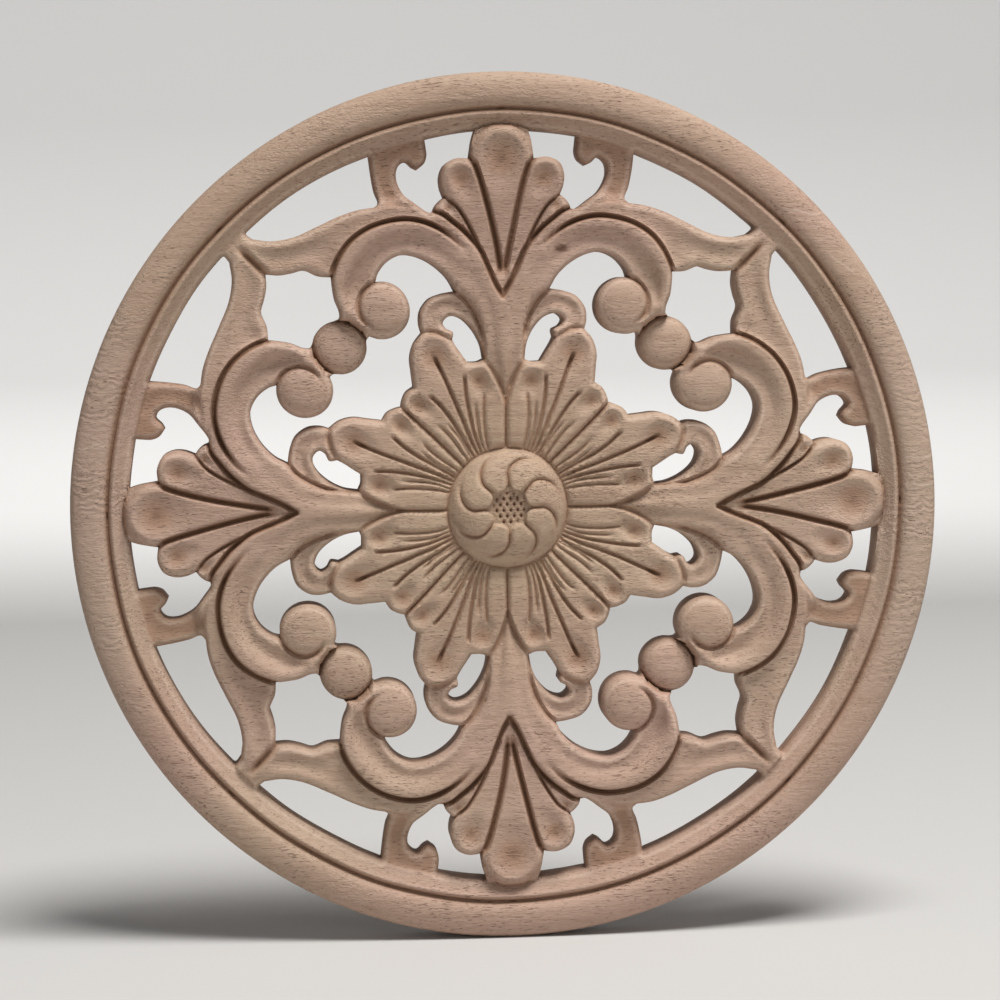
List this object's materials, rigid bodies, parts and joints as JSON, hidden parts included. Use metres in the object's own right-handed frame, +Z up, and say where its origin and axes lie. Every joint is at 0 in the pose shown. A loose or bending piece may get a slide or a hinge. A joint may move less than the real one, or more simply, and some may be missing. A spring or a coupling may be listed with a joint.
{
  "type": "openwork wood applique",
  "caption": "Round openwork wood applique: moulded ring, palmettes, scrolls, leaf bands and a rosette with a whirl dome, flat back for gluing to a surface.",
  "frame": {"origin": "centre of the flat back face, on the disc's axis", "axes": "+Y out of the back towards what it is fixed to, the carved front faces -Y, +Z up, +X to the right seen from the front"},
  "size_m": [0.2, 0.0144, 0.2],
  "materials": {
    "pale_wood": "raw, sanded"
  },
  "bodies": {
    "root": {"wood_applique": "pale_wood"}
  },
  "joints": []
}
